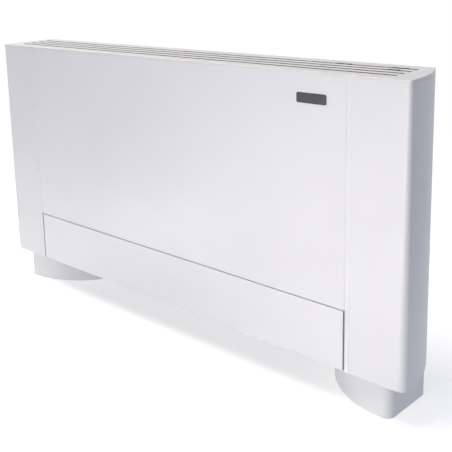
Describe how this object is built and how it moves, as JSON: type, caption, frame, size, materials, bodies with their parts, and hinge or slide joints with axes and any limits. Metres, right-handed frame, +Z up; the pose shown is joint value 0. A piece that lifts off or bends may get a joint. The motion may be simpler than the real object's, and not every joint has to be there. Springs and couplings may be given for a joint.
{
  "type": "fan convector heater",
  "caption": "Slim floor-standing fan convector with bowed ends, slatted top outlet, hinged intake flap and water coil inside.",
  "frame": {"origin": "on the floor, at the middle of the heater's length and depth", "axes": "+X along the heater's length to its right end seen from the front, +Y towards the wall, +Z up"},
  "size_m": [1.252, 0.145, 0.6599],
  "materials": {
    "panel_paint": "satin white powder coat",
    "cover_plastic": "satin white moulded plastic",
    "grille_plastic": "warm white moulded plastic",
    "strip_plastic": "smooth white strip",
    "badge": "plain dark grey plate",
    "foam": "closed-cell foam",
    "filter_cloth": "fine woven mesh",
    "aluminium": "plain rolled",
    "copper": "drawn copper",
    "brass": "machined brass",
    "bright_steel": "zinc plated",
    "motor_steel": "dark paint",
    "galvanised": "galvanised sheet",
    "rubber": "moulded rubber",
    "black_plastic": "black moulded plastic",
    "grey_plastic": "grey moulded plastic"
  },
  "bodies": {
    "casing": {"badge_plate": "badge", "bearing_mount": "rubber", "bottom_rail": "galvanised", "chassis_screws": "bright_steel", "coil_bends": "copper", "coil_end_sheets": "galvanised", "coil_fins": "aluminium", "coil_tubes": "copper", "control_fascia": "black_plastic", "control_housing": "black_plastic", "drain_spigot": "grey_plastic", "drain_tray": "grey_plastic", "electrical_box": "galvanised", "electrical_box_lid": "galvanised", "end_plate_left": "galvanised", "end_plate_right": "galvanised", "fan_scroll": "galvanised", "fan_tongue": "galvanised", "filter_guides": "grey_plastic", "flap_hinge_brackets": "galvanised", "flap_hinge_pins": "bright_steel", "flap_magnets": "black_plastic", "foot_cover_left": "cover_plastic", "foot_cover_right": "cover_plastic", "foot_leg_left": "galvanised", "foot_leg_right": "galvanised", "front_insulation": "foam", "front_panel": "panel_paint", "front_rail": "galvanised", "header_flow": "brass", "header_return": "brass", "joint_strips": "strip_plastic", "leg_screws": "bright_steel", "levelling_feet": "black_plastic", "levelling_nuts": "bright_steel", "lid_hinge_clips": "black_plastic", "lid_hinge_pins": "bright_steel", "motor": "motor_steel", "motor_bracket": "galvanised", "motor_capacitor": "grey_plastic", "rear_chassis": "galvanised", "shaft_bearing": "bright_steel", "side_cover_left": "cover_plastic", "side_cover_right": "cover_plastic", "supply_gland": "grey_plastic", "terminal_block": "grey_plastic", "top_grille": "grille_plastic"},
    "flap": {"intake_flap": "panel_paint"},
    "lid": {"control_lid": "grille_plastic", "lid_knuckles": "black_plastic", "lid_finger_pull": "black_plastic"},
    "fan": {"fan_wheel": "aluminium", "fan_shaft": "bright_steel"},
    "speed_selector": {"fan_speed_knob": "black_plastic"},
    "thermostat": {"thermostat_knob": "black_plastic"},
    "rocker": {"mode_rocker": "black_plastic"},
    "air_vent": {"air_vent_knob": "black_plastic"},
    "filter": {"filter_frame": "grey_plastic", "filter_mesh": "filter_cloth"}
  },
  "joints": [
    {"name": "flap_hinge", "type": "hinge", "parent": "casing", "child": "flap", "pos_m": [0, -0.064, 0.081], "axis": [1, 0, 0], "range_deg": [0, 75]},
    {"name": "lid_hinge", "type": "hinge", "parent": "casing", "child": "lid", "pos_m": [0.4845, 0.03675, 0.654], "axis": [-1, 0, 0], "range_deg": [0, 95]},
    {"name": "fan_spin", "type": "hinge", "parent": "casing", "child": "fan", "pos_m": [0, 0, 0.17], "axis": [1, 0, 0], "continuous": true},
    {"name": "speed_turn", "type": "hinge", "parent": "casing", "child": "speed_selector", "pos_m": [0.437, -0.014, 0.627], "axis": [0, 0, -1], "range_deg": [0, 135]},
    {"name": "thermostat_turn", "type": "hinge", "parent": "casing", "child": "thermostat", "pos_m": [0.492, -0.014, 0.627], "axis": [0, 0, -1], "range_deg": [-135, 135]},
    {"name": "rocker_tilt", "type": "hinge", "parent": "casing", "child": "rocker", "pos_m": [0.54, -0.014, 0.625], "axis": [1, 0, 0], "range_deg": [-6, 6]},
    {"name": "air_vent_turn", "type": "hinge", "parent": "casing", "child": "air_vent", "pos_m": [-0.407, 0.02665, 0.51252], "axis": [0, 0, 1], "range_deg": [0, 180]},
    {"name": "filter_drop", "type": "slide", "parent": "casing", "child": "filter", "axis": [0, 0, -1], "range_m": [0, 0.06]}
  ]
}
